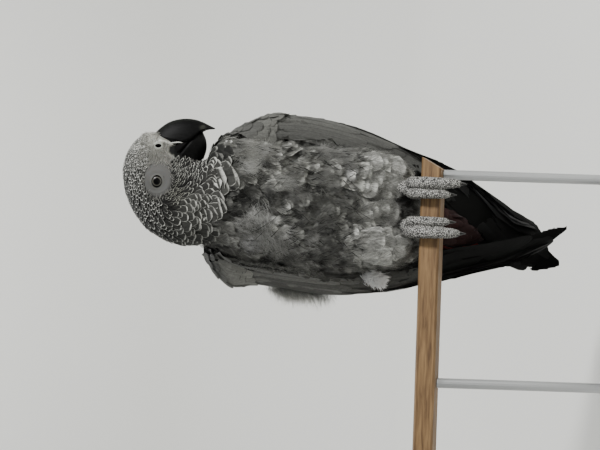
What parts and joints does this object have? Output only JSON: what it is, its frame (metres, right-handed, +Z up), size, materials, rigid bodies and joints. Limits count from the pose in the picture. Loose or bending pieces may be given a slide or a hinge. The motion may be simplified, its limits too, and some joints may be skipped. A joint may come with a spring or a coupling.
{
  "type": "grey parrot",
  "caption": "Grey parrot perched upright on a cut length of planed wooden bar, head turned in profile, on a plain display stand.",
  "frame": {"origin": "centre of the display base's underside", "axes": "+Z up, -Y out of the breast side (the way the bird is seen from the front), +X towards the end the bill points to, along the bar"},
  "size_m": [0.215, 0.1867, 0.3344],
  "materials": {
    "feather_grey": "matt plumage",
    "feather_dark": "satin flight feathers",
    "feather_red": "matt plumage",
    "face_skin": "matt bare skin",
    "bill_horn": "worn satin horn",
    "claw_horn": "satin horn",
    "foot_scale": "dry scaly skin",
    "eye_glass": "polished",
    "bar_wood": "planed, worn",
    "stand_paint": "painted matt black",
    "stand_steel": "brushed"
  },
  "bodies": {
    "root": {"belly": "feather_grey", "bill_lower": "bill_horn", "bill_upper": "bill_horn", "breast": "feather_grey", "cere": "face_skin", "claw_left_front_inner": "claw_horn", "claw_left_front_outer": "claw_horn", "claw_left_hind_inner": "claw_horn", "claw_left_hind_outer": "claw_horn", "claw_right_front_inner": "claw_horn", "claw_right_front_outer": "claw_horn", "claw_right_hind_inner": "claw_horn", "claw_right_hind_outer": "claw_horn", "eye_left": "eye_glass", "eye_right": "eye_glass", "foot_left": "foot_scale", "foot_right": "foot_scale", "head": "feather_grey", "neck": "feather_grey", "perch_bar": "bar_wood", "stand_base": "stand_paint", "stand_rod_left": "stand_steel", "stand_rod_right": "stand_steel", "tail": "feather_red", "thigh_left": "feather_grey", "thigh_right": "feather_grey", "toe_left_front_inner": "foot_scale", "toe_left_front_outer": "foot_scale", "toe_left_hind_inner": "foot_scale", "toe_left_hind_outer": "foot_scale", "toe_right_front_inner": "foot_scale", "toe_right_front_outer": "foot_scale", "toe_right_hind_inner": "foot_scale", "toe_right_hind_outer": "foot_scale", "undertail_coverts": "feather_red", "wing_left_coverts": "feather_dark", "wing_left_primaries": "feather_dark", "wing_left_secondaries": "feather_dark", "wing_right_coverts": "feather_dark", "wing_right_primaries": "feather_dark", "wing_right_secondaries": "feather_dark"}
  },
  "joints": []
}
